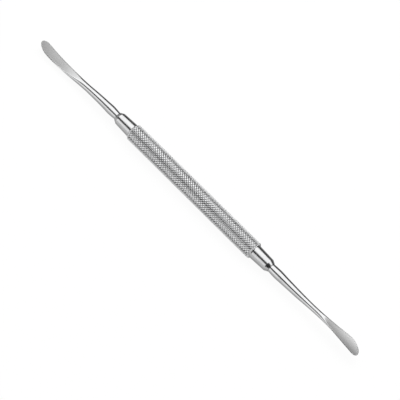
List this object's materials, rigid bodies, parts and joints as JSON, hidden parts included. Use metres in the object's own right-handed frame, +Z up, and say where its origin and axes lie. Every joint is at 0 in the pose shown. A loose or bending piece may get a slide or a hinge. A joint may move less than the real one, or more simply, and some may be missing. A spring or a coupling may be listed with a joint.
{
  "type": "periosteal elevator",
  "caption": "Double-ended surgical elevator: a knurled round handle with a slim curved steel blade at each end, one blunt and broad, one narrower and sharp.",
  "frame": {"origin": "middle of the instrument's length and width, on the surface that it lies on", "axes": "+X along the instrument towards the sharp end, +Z up, both blades level"},
  "size_m": [0.19, 0.0078, 0.0078],
  "materials": {
    "handle_steel": "satin knurled grip with polished necks",
    "blade_steel": "polished shank running into a satin ground blade"
  },
  "bodies": {
    "root": {"handle": "handle_steel", "blunt_end": "blade_steel", "sharp_end": "blade_steel"}
  },
  "joints": []
}
